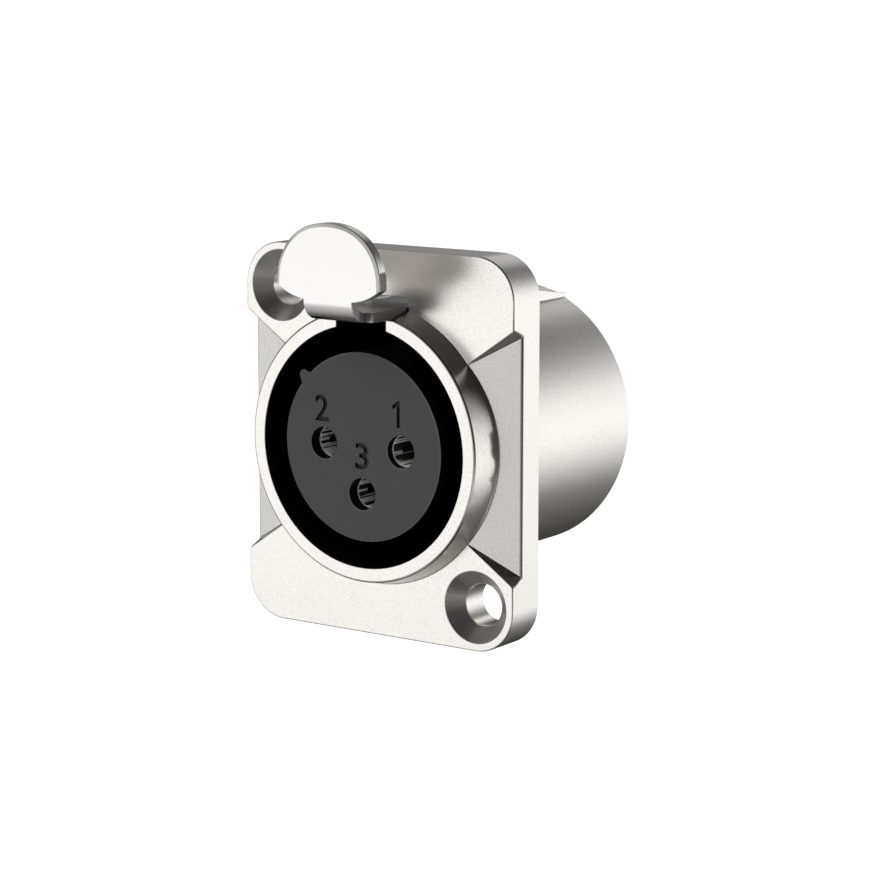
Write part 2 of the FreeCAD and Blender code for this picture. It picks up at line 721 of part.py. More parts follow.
# Latch spring: small compression coil that stands in the insert's pocket under the lever's tail.
# Its wire has eight flats, which keeps the thin coil light.
def make_spring():
    spring = body_named("latch_spring")
    flat = "spring_wire_radius * (sqrt(2) - 1)"
    wire = outline(sketch_on(spring, "XZ_Plane", "wire_section"), [
        ("spring_mean_radius %s" % across, up) for across, up in (
            ("+ spring_wire_radius", "-" + flat), ("+ spring_wire_radius", flat),
            ("+ " + flat, "spring_wire_radius"), ("- " + flat, "spring_wire_radius"),
            ("- spring_wire_radius", flat), ("- spring_wire_radius", "-" + flat),
            ("- " + flat, "-spring_wire_radius"), ("+ " + flat, "-spring_wire_radius"),
        )
    ])
    feature(
        spring, "AdditiveHelix", "coil", wire, ReferenceAxis=(wire, ["V_Axis"]),
        Mode="height-turns-angle", Turns="spring_turns",
        Height=(
            "channel_floor_z + lever_rest_gap - crank_drop - spring_pocket_floor_z"
            " - 2 * (spring_wire_radius + spring_end_gap)"
        ),
    )
    spring.setExpression("Placement.Base.y", tied(SPRING_Y))
    spring.setExpression(
        "Placement.Base.z", tied("spring_pocket_floor_z + spring_wire_radius + spring_end_gap")
    )
    return spring


pieces = [
    make_shell(),
    make_sleeve(),
    make_insert(),
    make_contact("contact_1"),
    make_contact("contact_2"),
    make_contact("contact_3"),
    make_ground_lug(),
    make_lock_ring(),
    make_lever(),
    make_pin(),
    make_spring(),
]
doc.recompute()

for item in doc.Objects:
    if "Invalid" in item.State or "Error" in item.State:
        raise RuntimeError("%s did not build: %s" % (item.Label, item.State))
for piece in pieces:
    if piece.Shape.isNull() or not piece.Shape.isValid() or len(piece.Shape.Solids) != 1:
        raise RuntimeError("%s is not one valid solid" % piece.Label)

os.makedirs("parts", exist_ok=True)
for piece in pieces:
    piece.Shape.exportStep(os.path.join("parts", piece.Label + ".step"))
    print("%-14s %9.3f mm3" % (piece.Label, piece.Shape.Volume))
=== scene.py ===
import json
import math

import bmesh
import bpy
from mathutils import Matrix, Vector


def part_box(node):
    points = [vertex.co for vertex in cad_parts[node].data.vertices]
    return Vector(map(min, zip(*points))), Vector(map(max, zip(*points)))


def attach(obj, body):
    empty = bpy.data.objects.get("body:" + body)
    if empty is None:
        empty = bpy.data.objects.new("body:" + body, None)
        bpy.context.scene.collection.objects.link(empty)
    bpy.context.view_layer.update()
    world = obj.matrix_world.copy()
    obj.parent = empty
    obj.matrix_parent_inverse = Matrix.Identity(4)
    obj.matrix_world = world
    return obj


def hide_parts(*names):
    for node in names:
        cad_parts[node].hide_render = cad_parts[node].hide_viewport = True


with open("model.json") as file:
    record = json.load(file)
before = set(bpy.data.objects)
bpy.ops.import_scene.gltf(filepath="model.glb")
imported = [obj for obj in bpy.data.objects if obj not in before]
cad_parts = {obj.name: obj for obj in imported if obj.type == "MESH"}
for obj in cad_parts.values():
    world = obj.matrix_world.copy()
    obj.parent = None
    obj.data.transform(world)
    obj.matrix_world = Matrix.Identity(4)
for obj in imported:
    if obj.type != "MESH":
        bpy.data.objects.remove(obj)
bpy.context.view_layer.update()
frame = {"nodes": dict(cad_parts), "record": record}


# Shell: one zinc die casting with flange, ring and barrel, tumbled and then plated in satin
# nickel. The plating keeps a fine orange-peel grain from the tumbling. It is rougher in the
# countersinks, which the stones didn't reach, and its colour there is darkened as painted shade.

MM = 0.001


def computed(nodes, links, operation, *values):
    """The result of a math node; each value is a number or a socket."""
    node = nodes.new("ShaderNodeMath")
    node.operation = operation
    for socket, value in zip(node.inputs, values):
        if isinstance(value, float):
            socket.default_value = value
        else:
            links.new(value, socket)
    return node.outputs[0]


def spread(nodes, links, value, low, high, first=0.0, last=1.0, smooth=False):
    """first where value is low and last where it is high, with a straight or smooth run between."""
    node = nodes.new("ShaderNodeMapRange")
    if smooth:
        node.interpolation_type = "SMOOTHSTEP"
    node.inputs["From Min"].default_value = low
    node.inputs["From Max"].default_value = high
    node.inputs["To Min"].default_value = first
    node.inputs["To Max"].default_value = last
    links.new(value, node.inputs["Value"])
    return node.outputs[0]


def mixed(nodes, links, share, first, second):
    """first where share is 0 and second where it is 1; each is a number or a socket."""
    blend = nodes.new("ShaderNodeMix")
    blend.data_type = "FLOAT"
    links.new(share, blend.inputs["Factor"])
    for label, value in (("A", first), ("B", second)):
        if isinstance(value, float):
            blend.inputs[label].default_value = value
        else:
            links.new(value, blend.inputs[label])
    return blend.outputs["Result"]


def tumbled_grain():
    """Fine grain for metal and plastic: a height for the bump, a roughness that drifts slowly and
    a brightness that darkens the smallest pits. The sizes are in millimetres."""
    group = bpy.data.node_groups.new("tumbled_grain", "ShaderNodeTree")
    for label, value in (
        ("Grain Size", 0.15), ("Drift Size", 4.0), ("Drift", 0.04), ("Roughness", 0.3),
        ("Speckle", 0.0),
    ):
        socket = group.interface.new_socket(label, in_out="INPUT", socket_type="NodeSocketFloat")
        socket.default_value = value
    for label in ("Height", "Roughness", "Brightness"):
        group.interface.new_socket(label, in_out="OUTPUT", socket_type="NodeSocketFloat")
    nodes, links = group.nodes, group.links
    start, end = nodes.new("NodeGroupInput"), nodes.new("NodeGroupOutput")
    place = nodes.new("ShaderNodeTexCoord")

    def noise(size_label, detail):
        """Noise whose patches have the size in millimetres that an input of the group gives."""
        texture = nodes.new("ShaderNodeTexNoise")
        texture.inputs["Detail"].default_value = detail
        texture.inputs["Roughness"].default_value = 0.6
        links.new(place.outputs["Object"], texture.inputs["Vector"])
        scale = computed(nodes, links, "DIVIDE", 1.0 / MM, start.outputs[size_label])
        links.new(scale, texture.inputs["Scale"])
        return texture.outputs["Fac"]

    def swung(source, amount, base):
        """base + (source - 0.5) * amount"""
        centred = computed(nodes, links, "SUBTRACT", source, 0.5)
        return computed(nodes, links, "MULTIPLY_ADD", centred, amount, base)

    fine = noise("Grain Size", 3.0)
    drift = noise("Drift Size", 2.0)
    rough = swung(drift, start.outputs["Drift"], start.outputs["Roughness"])
    links.new(fine, end.inputs["Height"])
    links.new(rough, end.inputs["Roughness"])
    links.new(swung(fine, start.outputs["Speckle"], 1.0), end.inputs["Brightness"])
    return group


GRAIN = tumbled_grain()
FORWARD = (0.0, -1.0, 0.0)
BACKWARD = (0.0, 1.0, 0.0)


def along(nodes, links, what, direction, low, high):
    """How far a surface faces a direction (what is "Normal") or lies along it ("Object"), from 0
    below low to 1 above high."""
    place = nodes.new("ShaderNodeTexCoord")
    toward = nodes.new("ShaderNodeVectorMath")
    toward.operation = "DOT_PRODUCT"
    toward.inputs[1].default_value = direction
    links.new(place.outputs[what], toward.inputs[0])
    return spread(nodes, links, toward.outputs["Value"], low, high)


def close_to(nodes, links, spot, inner, outer):
    """1 on forward faces between two radii about a line along Y through a spot (x, z), else 0."""
    place = nodes.new("ShaderNodeTexCoord")
    flat = nodes.new("ShaderNodeVectorMath")
    flat.operation = "MULTIPLY"
    flat.inputs[1].default_value = (1.0, 0.0, 1.0)
    links.new(place.outputs["Object"], flat.inputs[0])
    reach = nodes.new("ShaderNodeVectorMath")
    reach.operation = "DISTANCE"
    reach.inputs[1].default_value = (spot[0], 0.0, spot[1])
    links.new(flat.outputs[0], reach.inputs[0])
    inside = computed(
        nodes, links, "COMPARE", reach.outputs["Value"], (outer + inner) / 2, (outer - inner) / 2
    )
    forward = along(nodes, links, "Normal", FORWARD, 0.0, 0.2)
    return computed(nodes, links, "MULTIPLY", inside, forward)


def plated(
    name, colour, roughness, grain_size, grain_depth, drift=0.04, speckle=0.0, dull_and_shaded=(), hollows=()
):
    """A plated metal: plain metal colour, with the grain in bump, roughness and brightness. Each
    row of dull_and_shaded, (what, direction, low, high, brightness, roughness), is a part that
    wasn't polished, rougher and with its colour darkened as painted shade. Each row of hollows,
    (spot, inner, outer, brightness, roughness), is a countersink, rougher and with its colour
    darkened as painted shade."""
    material = bpy.data.materials.new(name)
    material.use_nodes = True
    nodes, links = material.node_tree.nodes, material.node_tree.links
    metal = nodes["Principled BSDF"]
    metal.inputs["Metallic"].default_value = 1.0
    grain = nodes.new("ShaderNodeGroup")
    grain.node_tree = GRAIN
    grain.inputs["Grain Size"].default_value = grain_size
    grain.inputs["Drift"].default_value = drift
    grain.inputs["Roughness"].default_value = roughness
    grain.inputs["Speckle"].default_value = speckle
    brightness, rough = grain.outputs["Brightness"], grain.outputs["Roughness"]
    zones = [(along(nodes, links, *row[:4]), *row[4:]) for row in dull_and_shaded]
    zones += [(close_to(nodes, links, *row[:3]), *row[3:]) for row in hollows]
    # Each zone darkens the colour as painted shade and sets its own roughness.
    for share, brightness_there, rough_there in zones:
        kept = mixed(nodes, links, share, 1.0, brightness_there)
        brightness = computed(nodes, links, "MULTIPLY", brightness, kept)
        rough = mixed(nodes, links, share, rough, rough_there)
    tint = nodes.new("ShaderNodeVectorMath")
    tint.operation = "SCALE"
    tint.inputs[0].default_value = colour
    links.new(brightness, tint.inputs["Scale"])
    links.new(tint.outputs[0], metal.inputs["Base Color"])
    bump = nodes.new("ShaderNodeBump")
    bump.inputs["Strength"].default_value = 1.0
    bump.inputs["Distance"].default_value = grain_depth * MM
    links.new(grain.outputs["Height"], bump.inputs["Height"])
    links.new(bump.outputs["Normal"], metal.inputs["Normal"])
    links.new(rough, metal.inputs["Roughness"])
    return material


def dress(node, material):
    """Give a carried-over solid its finish."""
    solid = frame["nodes"][node]
    solid.data.materials.clear()
    solid.data.materials.append(material)


def settled(piece):
    """Bake the modifiers of a piece into its mesh."""
    seen = piece.evaluated_get(bpy.context.evaluated_depsgraph_get())
    mesh = bpy.data.meshes.new_from_object(seen)
    piece.modifiers.clear()
    piece.data = mesh
    return piece


LARGE_FACES_FIRST = 80


def evened(piece):
    """Smooth shading in which the large flat faces stay flat and marked edges stay crisp. It is
    worked out in millimetres, because the weighting takes areas of a few mm2 in m2 as equal."""
    piece.data.transform(Matrix.Scale(1.0 / MM, 4))
    piece.data.polygons.foreach_set("use_smooth", [True] * len(piece.data.polygons))
    even = piece.modifiers.new("even", "WEIGHTED_NORMAL")
    even.mode = "FACE_AREA"
    even.weight = LARGE_FACES_FIRST
    even.keep_sharp = True
    settled(piece)
    piece.data.transform(Matrix.Scale(MM, 4))
    return piece


SAME_POINT = 0.0005 * MM
SAME_PLANE = math.radians(0.4)
CREASE = 15.0
BEVEL_STEPS = 3


def eased(
    node, width, material, body="housing", carve=None, fill=None, sharper_than=30.0,
    broad=None,
):
    """A copy of a solid whose edges sharper than an angle in degrees are broken, as tumbling or
    polishing leaves them. Blunter edges down to CREASE only shade as a crease. The width is in
    millimetres. carve is cut away first, and fill is joined on. broad is (test of an edge, width)
    for edges that are broken more widely."""
    mesh = frame["nodes"][node].data.copy()
    shape = bmesh.new()
    shape.from_mesh(mesh)
    bmesh.ops.remove_doubles(shape, verts=shape.verts, dist=SAME_POINT)
    bmesh.ops.dissolve_limit(
        shape, angle_limit=SAME_PLANE, verts=shape.verts, edges=shape.edges, delimit={"NORMAL"}
    )
    share = shape.edges.layers.float.new("bevel_weight_edge")
    for line in shape.edges:
        bend = math.degrees(line.calc_face_angle(0.0))
        line.smooth = not CREASE < bend <= sharper_than
        if broad is not None and bend > sharper_than:
            line[share] = 1.0 if broad[0](line) else width / broad[1]
    shape.to_mesh(mesh)
    shape.free()
    mesh.materials.clear()
    mesh.materials.append(material)
    piece = bpy.data.objects.new(node + "_finished", mesh)
    bpy.context.collection.objects.link(piece)
    for other, operation in ((carve, "DIFFERENCE"), (fill, "UNION")):
        if other is not None:
            change = piece.modifiers.new(operation.lower(), "BOOLEAN")
            change.operation = operation
            change.solver = "EXACT"
            change.object = other
    edge = piece.modifiers.new("edge", "BEVEL")
    edge.width = width * MM
    edge.segments = BEVEL_STEPS
    edge.limit_method = "ANGLE"
    edge.angle_limit = math.radians(sharper_than)
    if broad is not None:
        edge.limit_method = "WEIGHT"
        edge.width = broad[1] * MM
    edge.use_clamp_overlap = False
    evened(settled(piece))
    for other in (carve, fill):
        if other is not None:
            bpy.data.objects.remove(other)
    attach(piece, body)
    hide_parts(node)
    return piece


HOLE_X = 9.5 * MM
HOLE_Z = 12.0 * MM
HOLE_RADIUS = 1.75 * MM
COUNTERSINK_RADIUS = 2.9 * MM
# Painted shade: the countersinks' colour is darkened by this factor.
SINK_PAINTED_SHADE = 0.68
SINK_ROUGHNESS = 0.4
FLANGE_THICKNESS = 3.6 * MM
SAME_LEVEL = 0.02 * MM
SHORTEST_RIM = 1.0 * MM
LEAST_SLANT = 0.3
EDGE_WIDTH = 0.07
FACET_RIM_WIDTH = 0.09


def facet_rim(line):
    """Whether an edge is the slanting rim at the end of a side facet."""
    first, second = (corner.co for corner in line.verts)
    run = second - first
    on_front = all(abs(corner.y + FLANGE_THICKNESS) < SAME_LEVEL for corner in (first, second))
    slanting = min(abs(run.x), abs(run.z)) > LEAST_SLANT * run.length
    return on_front and slanting and run.length > SHORTEST_RIM


satin_nickel = plated(
    "satin_nickel", (0.955, 0.928, 0.89), 0.25, 0.13, 0.007, speckle=0.46,
    hollows=[
        (spot, HOLE_RADIUS, COUNTERSINK_RADIUS, SINK_PAINTED_SHADE, SINK_ROUGHNESS)
        for spot in ((-HOLE_X, HOLE_Z), (HOLE_X, -HOLE_Z))
    ],
)
eased(
    "shell", EDGE_WIDTH, satin_nickel, sharper_than=35.0,
    broad=(facet_rim, FACET_RIM_WIDTH),
)


# Sleeve: thin moulded tube that lines the bore and the latch slot behind the ring's lip. It is
# dead matt black, a dark sheet that stands in for the shade in the gap round the insert, so the
# gap reads as a black ring from any side.

def moulded(name, colour, roughness, shine, grain_size, grain_depth, painted_sides=(), painted_sunk_shade=None):
    """A moulded plastic with the faint grain that an eroded mould leaves. Each of painted_sides,
    (how far it faces forwards, colour), is a colour painted on the walls and edges that turn away
    from the face, as painted shade or painted highlight, and painted_sunk_shade is (start, end,
    brightness) along Y of painted shade on what lies behind the face."""
    material = bpy.data.materials.new(name)
    material.use_nodes = True
    nodes, links = material.node_tree.nodes, material.node_tree.links
    plastic = nodes["Principled BSDF"]
    plastic.inputs["Base Color"].default_value = (*colour, 1.0)
    plastic.inputs["Specular IOR Level"].default_value = shine
    grain = nodes.new("ShaderNodeGroup")
    grain.node_tree = GRAIN
    grain.inputs["Grain Size"].default_value = grain_size
    grain.inputs["Roughness"].default_value = roughness
    bump = nodes.new("ShaderNodeBump")
    bump.inputs["Distance"].default_value = grain_depth * MM
    links.new(grain.outputs["Height"], bump.inputs["Height"])
    links.new(bump.outputs["Normal"], plastic.inputs["Normal"])
    links.new(grain.outputs["Roughness"], plastic.inputs["Roughness"])
    if painted_sides:
        blend = nodes.new("ShaderNodeValToRGB")
        points = blend.color_ramp.elements
        points[0].position, points[0].color = 0.0, (*painted_sides[0][1], 1.0)
        points[1].position, points[1].color = 1.0, (*colour, 1.0)
        for share, side in painted_sides:
            points.new(share).color = (*side, 1.0)
        links.new(along(nodes, links, "Normal", FORWARD, 0.0, 1.0), blend.inputs["Fac"])
        # Painted shade: what lies behind the face is darkened.
        start, end, brightness = painted_sunk_shade
        shade_behind = along(nodes, links, "Object", BACKWARD, start, end)
        shade = nodes.new("ShaderNodeVectorMath")
        shade.operation = "SCALE"
        links.new(blend.outputs["Color"], shade.inputs[0])
        links.new(mixed(nodes, links, shade_behind, 1.0, brightness), shade.inputs["Scale"])
        links.new(shade.outputs[0], plastic.inputs["Base Color"])
    return material


dress("bore_sleeve", moulded("sleeve_painted_shade", (0.002, 0.002, 0.002), 0.8, 0.05, 0.1, 0.002))


# Insert: one polyamide moulding, dark grey and matt, that holds the contacts. The pin numbers
# are sunk into its face above each hole, and a key rib runs along its upper left side. Its face
# is eroded to a dull grey. The walls that run back from it are painted black as shade, their
# broken edges and the hole rims are painted lighter as highlight, and all that lies behind the
# face is painted darker as shade.

INSERT_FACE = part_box("insert")[0].y / MM
CONTACT_HOLES = [
    mount["pos_m"] for mount in frame["record"]["mounts"] if mount["name"].startswith("contact_hole")
]
HOLE_RIM_RADIUS = 1.47
HOLE_RIM_FOOT = 1.27
HOLE_RIM_DEPTH = 0.2
NUMBER_DEPTH = 0.28
NUMBER_HEIGHT = 2.1
NUMBER_BOLDNESS = 0.015
ROUND_NUMBERS = (("2", -3.9, 2.8, 1.34), ("3", 0.02, -0.7, 1.34))
ONE_CENTRE = (3.4, 2.95)
ONE = (
    (0.0, -1.05), (0.3, -1.05), (0.3, 1.05), (0.1, 1.05), (-0.42, 0.68), (-0.42, 0.36), (0.0, 0.62),
)


def pushed_back(shape, outline, depth):
    """Close an outline, a row of points, and extrude it along Y by a depth."""
    flat = shape.faces.new([shape.verts.new(point) for point in outline])
    for corner in bmesh.ops.extrude_face_region(shape, geom=[flat])["geom"]:
        if isinstance(corner, bmesh.types.BMVert):
            corner.co.y += depth


def closed(shape, name):
    """An object from a finished shape, with its faces turned outwards."""
    bmesh.ops.recalc_face_normals(shape, faces=shape.faces)
    mesh = bpy.data.meshes.new(name)
    shape.to_mesh(mesh)
    shape.free()
    piece = bpy.data.objects.new(name, mesh)
    bpy.context.collection.objects.link(piece)
    return piece


def engraving():
    """One cutter for the whole face: the three numbers and the broken rims of the holes."""
    shape = bmesh.new()
    for digit, across, up, width in ROUND_NUMBERS:
        font = bpy.data.curves.new("number_" + digit, "FONT")
        font.body = digit
        font.extrude = NUMBER_DEPTH
        font.offset = NUMBER_BOLDNESS
        font.resolution_u = 6
        writing = bpy.data.objects.new("number_" + digit, font)
        bpy.context.collection.objects.link(writing)
        mesh = bpy.data.meshes.new_from_object(
            writing.evaluated_get(bpy.context.evaluated_depsgraph_get())
        )
        bpy.data.objects.remove(writing)
        xs = [vertex.co.x for vertex in mesh.vertices]
        ys = [vertex.co.y for vertex in mesh.vertices]
        for vertex in mesh.vertices:
            x = (vertex.co.x - min(xs)) / (max(xs) - min(xs)) - 0.5
            y = (vertex.co.y - min(ys)) / (max(ys) - min(ys)) - 0.5
            vertex.co = (
                (across + x * width) * MM,
                (INSERT_FACE - vertex.co.z) * MM,
                (up + y * NUMBER_HEIGHT) * MM,
            )
        shape.from_mesh(mesh)
    bmesh.ops.remove_doubles(shape, verts=shape.verts, dist=0.001 * MM)
    in_front = (INSERT_FACE - NUMBER_DEPTH) * MM
    pushed_back(
        shape,
        [((ONE_CENTRE[0] + x) * MM, in_front, (ONE_CENTRE[1] + z) * MM) for x, z in ONE],
        2 * NUMBER_DEPTH * MM,
    )
    for across, _, up in CONTACT_HOLES:
        rim = Matrix.Translation((across, INSERT_FACE * MM, up))
        bmesh.ops.create_cone(
            shape, cap_ends=True, segments=72, radius1=HOLE_RIM_RADIUS * MM,
            radius2=HOLE_RIM_FOOT * MM, depth=HOLE_RIM_DEPTH * MM,
            matrix=rim @ Matrix.Rotation(math.radians(-90), 4, "X"),
        )
    return closed(shape, "engraving")


KEY_BEARING = math.radians(47.0)
KEY_FOOT = (0.72, 7.36)
KEY_NOSE_CENTRE = 7.73
KEY_NOSE_RADIUS = 0.45
KEY_NOSE_DEPTH = 0.3


def key_nose():
    """The front end of the key rib, which runs smoothly out of the face."""
    shape = bmesh.new()
    side = [KEY_FOOT]
    for turn in range(0, 181, 9):
        side.append((
            KEY_NOSE_RADIUS * math.cos(math.radians(turn)),
            KEY_NOSE_CENTRE + KEY_NOSE_RADIUS * math.sin(math.radians(turn)),
        ))
    side.append((-KEY_FOOT[0], KEY_FOOT[1]))
    pushed_back(
        shape,
        [
            (
                (across * math.cos(KEY_BEARING) - out * math.sin(KEY_BEARING)) * MM,
                INSERT_FACE * MM,
                (across * math.sin(KEY_BEARING) + out * math.cos(KEY_BEARING)) * MM,
            )
            for across, out in side
        ],
        KEY_NOSE_DEPTH * MM,
    )
    return closed(shape, "key_nose")


FACE_GREY = (0.051, 0.051, 0.052)
# Painted highlight: the broken edges and the slanting hole rims are coloured lighter.
EDGE_PAINTED_HIGHLIGHT = (0.1, 0.1, 0.102)
# Painted shade: the walls that run back from the face are coloured black.
WALL_PAINTED_SHADE = (0.004, 0.004, 0.004)
# Painted shade: the colour of all that lies behind the face is scaled by this.
SUNK_PAINTED_SHADE = 0.6

insert_grey = moulded(
    "insert_grey", FACE_GREY, 0.6, 0.3, 0.09, 0.003,
    painted_sides=((0.35, WALL_PAINTED_SHADE), (0.5, EDGE_PAINTED_HIGHLIGHT), (0.8, EDGE_PAINTED_HIGHLIGHT), (0.95, FACE_GREY)),
    painted_sunk_shade=((INSERT_FACE + 0.1) * MM, (INSERT_FACE + 0.22) * MM, SUNK_PAINTED_SHADE),
)
eased("insert", 0.025, insert_grey, carve=engraving(), fill=key_nose())


# Contacts: turned brass sleeves, plated with bright silver. Each is slotted so that it grips the
# plug's pin, and ends in a solder cup behind the insert.

CUP_START = 13.0 * MM
CUP_FULL = 14.0 * MM
STREAK_WIDTH = 0.38


def silver_with_painted_streaks():
    """Silver plate: streaks run along the bore in shine and in colour. The streaks in colour are
    painted highlights, bright stripes over near black, and the rim that faces forwards is painted
    mid grey as its highlight. The solder cup behind it is turned bright."""
    material = bpy.data.materials.new("contact_silver")
    material.use_nodes = True
    nodes, links = material.node_tree.nodes, material.node_tree.links
    metal = nodes["Principled BSDF"]
    place = nodes.new("ShaderNodeTexCoord")
    stretch = nodes.new("ShaderNodeMapping")
    stretch.inputs["Scale"].default_value = (1.0, 0.02, 1.0)
    links.new(place.outputs["Object"], stretch.inputs["Vector"])
    noise = nodes.new("ShaderNodeTexNoise")
    noise.inputs["Scale"].default_value = 1.0 / (STREAK_WIDTH * MM)
    noise.inputs["Detail"].default_value = 3.0
    links.new(stretch.outputs[0], noise.inputs["Vector"])
    # The streaks change the roughness, and in the colour they are painted highlights.
    streak_and_painted_highlight = spread(nodes, links, noise.outputs["Fac"], 0.49, 0.55)
    cup = along(nodes, links, "Object", BACKWARD, CUP_START, CUP_FULL)
    # Painted highlight: the rim that faces forwards is coloured mid grey.
    tip_painted_grey = along(nodes, links, "Normal", FORWARD, 0.3, 0.6)
    grey = mixed(nodes, links, tip_painted_grey, mixed(nodes, links, streak_and_painted_highlight, 0.03, 1.0), 0.5)
    tint = nodes.new("ShaderNodeVectorMath")
    tint.operation = "SCALE"
    tint.inputs[0].default_value = (0.97, 0.96, 0.93)
    links.new(mixed(nodes, links, cup, grey, 0.93), tint.inputs["Scale"])
    links.new(tint.outputs[0], metal.inputs["Base Color"])
    links.new(mixed(nodes, links, cup, 0.1, 1.0), metal.inputs["Metallic"])
    shine = mixed(nodes, links, streak_and_painted_highlight, 0.5, 0.25)
    links.new(mixed(nodes, links, cup, shine, 0.24), metal.inputs["Roughness"])
    return material


silver = silver_with_painted_streaks()
for name in ("contact_1", "contact_2", "contact_3"):
    eased(name, 0.05, silver)


# Ground lug: pressed from brass strip and tinned. Its foot touches the barrel's wall, and its
# eye stands out behind the insert for a wire.

tin = plated("tin", (0.80, 0.79, 0.76), 0.32, 0.08, 0.002)
eased("ground_lug", 0.04, tin)


# Locking ring: flat spring wire rolled into an open ring, with rounded edges, snapped in behind
# the insert. The opening is at the top, under the latch.

RING_FRONT, RING_BACK = (corner.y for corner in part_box("lock_ring"))
RING_STEPS = 145
CORNER_STEPS = 4


def rolled_ring():
    """Node tree: a flat section with rounded corners, swept along an open ring about Y."""
    tree = bpy.data.node_groups.new("rolled_ring", "GeometryNodeTree")
    for label, value in (
        ("Mean Radius", 9.89 * MM), ("Radial Width", 0.88 * MM), ("Thickness", 0.45 * MM),
        ("Corner", 0.1 * MM), ("Opening", math.radians(36.0)),
    ):
        socket = tree.interface.new_socket(label, in_out="INPUT", socket_type="NodeSocketFloat")
        socket.default_value = value
    tree.interface.new_socket("Steel", in_out="INPUT", socket_type="NodeSocketMaterial")
    tree.interface.new_socket("Geometry", in_out="OUTPUT", socket_type="NodeSocketGeometry")
    nodes, links = tree.nodes, tree.links
    start, end = nodes.new("NodeGroupInput"), nodes.new("NodeGroupOutput")
    opening = start.outputs["Opening"]
    first_end = computed(nodes, links, "MULTIPLY_ADD", opening, 0.5, math.pi / 2)
    sweep_angle = computed(nodes, links, "MULTIPLY_ADD", opening, -1.0, 2 * math.pi)
    path = nodes.new("GeometryNodeCurveArc")
    path.inputs["Resolution"].default_value = RING_STEPS
    links.new(start.outputs["Mean Radius"], path.inputs["Radius"])
    links.new(first_end, path.inputs["Start Angle"])
    links.new(sweep_angle, path.inputs["Sweep Angle"])
    section = nodes.new("GeometryNodeCurvePrimitiveQuadrilateral")
    links.new(start.outputs["Radial Width"], section.inputs["Width"])
    links.new(start.outputs["Thickness"], section.inputs["Height"])
    corners = nodes.new("GeometryNodeFilletCurve")
    corners.mode = "POLY"
    corners.inputs["Count"].default_value = CORNER_STEPS
    links.new(start.outputs["Corner"], corners.inputs["Radius"])
    links.new(section.outputs[0], corners.inputs["Curve"])
    upright = nodes.new("GeometryNodeSetCurveNormal")
    upright.mode = "Z_UP"
    links.new(path.outputs["Curve"], upright.inputs["Curve"])
    sweep = nodes.new("GeometryNodeCurveToMesh")
    sweep.inputs["Fill Caps"].default_value = True
    links.new(upright.outputs[0], sweep.inputs["Curve"])
    links.new(corners.outputs[0], sweep.inputs["Profile Curve"])
    turn = nodes.new("GeometryNodeTransform")
    turn.inputs["Rotation"].default_value = (math.pi / 2, 0.0, 0.0)
    links.new(sweep.outputs[0], turn.inputs["Geometry"])
    real = nodes.new("GeometryNodeRealizeInstances")
    links.new(turn.outputs[0], real.inputs[0])
    coat = nodes.new("GeometryNodeSetMaterial")
    links.new(real.outputs[0], coat.inputs["Geometry"])
    links.new(start.outputs["Steel"], coat.inputs["Material"])
    links.new(coat.outputs[0], end.inputs["Geometry"])
    return tree


def grown(name, tree, values):
    """A piece made by a node tree, with its named inputs set, baked into a plain mesh."""
    piece = bpy.data.objects.new(name, bpy.data.meshes.new(name))
    bpy.context.collection.objects.link(piece)
    growth = piece.modifiers.new("growth", "NODES")
    growth.node_group = tree
    for item in tree.interface.items_tree:
        if item.in_out == "INPUT" and item.name in values:
            growth[item.identifier] = values[item.name]
    return settled(piece)


spring_steel = plated("spring_steel", (0.60, 0.60, 0.61), 0.3, 0.06, 0.0015)
ring = grown("lock_ring_rolled", rolled_ring(), {"Corner": 0.1 * MM, "Steel": spring_steel})
ring.data.transform(Matrix.Translation((0.0, (RING_FRONT + RING_BACK) / 2, 0.0)))
evened(ring)
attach(ring, "housing")
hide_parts("lock_ring")


# Latch lever: pressed from thick steel strip, bent, then polished and nickel plated. The tab
# mirrors the room. Its back and the arm behind it are rougher, because the wheel didn't reach
# them, and their colour is darkened there as painted shade.

TAB_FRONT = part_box("latch_lever")[0].y
TAB_SIDE_END = TAB_FRONT + 0.95 * MM
TAB_BACK = TAB_FRONT + 1.0 * MM
ARM_START = TAB_FRONT + 1.4 * MM
ARM_DULL_AND_SHADED = TAB_FRONT + 2.5 * MM

polished_nickel = plated(
    "polished_nickel", (0.9, 0.885, 0.87), 0.13, 0.25, 0.0008, drift=0.02,
    dull_and_shaded=(
        # Painted shade: the tab's back and the arm behind it are darkened.
        ("Object", BACKWARD, TAB_SIDE_END, TAB_BACK, 0.48, 0.4),
        ("Object", BACKWARD, ARM_START, ARM_DULL_AND_SHADED, 0.85, 0.35),
    ),
)
eased("latch_lever", 0.06, polished_nickel, body="latch", sharper_than=35.0)


# Pivot pin: plain pin of ground steel across the channel, held in both cheeks. The lever's
# rolled eye turns on it.

eased("pivot_pin", 0.06, spring_steel)


# Latch spring: small compression coil of steel wire, in a pocket under the lever's tail. It
# presses the tail up and the tooth down into the bore.

dress("latch_spring", spring_steel)


# Studio: a pale floor well below the socket, a white room, one broad lamp from the upper left,
# and a tent of white cloth with dark gaps, which only the metal sees.

def stage_material(name):
    """A material without its usual shader, with its nodes and links."""
    material = bpy.data.materials.new(name)
    material.use_nodes = True
    nodes = material.node_tree.nodes
    nodes.remove(nodes["Principled BSDF"])
    return material, nodes, material.node_tree.links


def looked_at(nodes, links):
    """1 for rays from the camera, a mirror or a clear body, and 0 for the light that fills in."""
    rays = nodes.new("ShaderNodeLightPath")
    seen = computed(
        nodes, links, "MAXIMUM", rays.outputs["Is Camera Ray"], rays.outputs["Is Glossy Ray"]
    )
    return computed(nodes, links, "MAXIMUM", seen, rays.outputs["Is Transmission Ray"])


